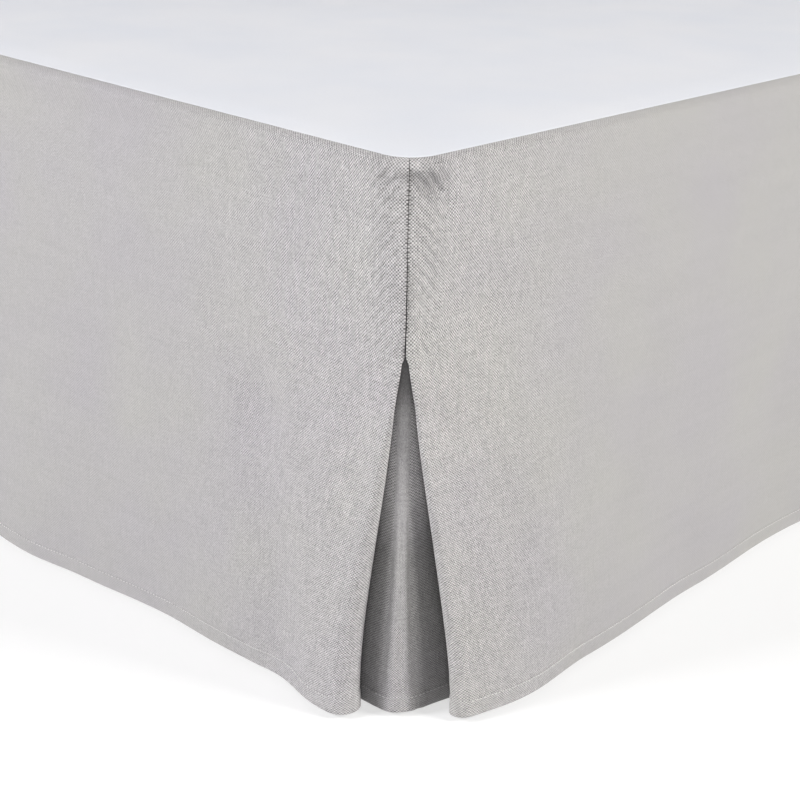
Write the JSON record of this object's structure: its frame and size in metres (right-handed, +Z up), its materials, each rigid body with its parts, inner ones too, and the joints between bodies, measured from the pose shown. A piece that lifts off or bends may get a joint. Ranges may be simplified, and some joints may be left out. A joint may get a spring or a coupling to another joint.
{
  "type": "bed skirt on a bed base",
  "caption": "Tailored bed skirt with a flat deck, straight drop panels and split corner pleats with inserts, on a plain box bed base with legs.",
  "frame": {"origin": "centre of the footprint on the floor", "axes": "+X across the bed, +Y from the foot end to the head end, +Z up"},
  "size_m": [1.5616, 2.0598, 0.381],
  "materials": {
    "skirt_linen": "matte woven linen-look cloth, plain weave",
    "deck_cloth": "smooth matte white cloth",
    "base_cover": "plain woven cover",
    "leg_wood": "satin"
  },
  "bodies": {
    "root": {"deck": "deck_cloth", "foot_panel": "skirt_linen", "side_panel_left": "skirt_linen", "side_panel_right": "skirt_linen", "pleat_insert_left": "skirt_linen", "pleat_insert_right": "skirt_linen", "base_box": "base_cover", "base_leg_foot_left": "leg_wood", "base_leg_foot_right": "leg_wood", "base_leg_middle_left": "leg_wood", "base_leg_middle_right": "leg_wood", "base_leg_head_left": "leg_wood", "base_leg_head_right": "leg_wood"}
  },
  "joints": []
}
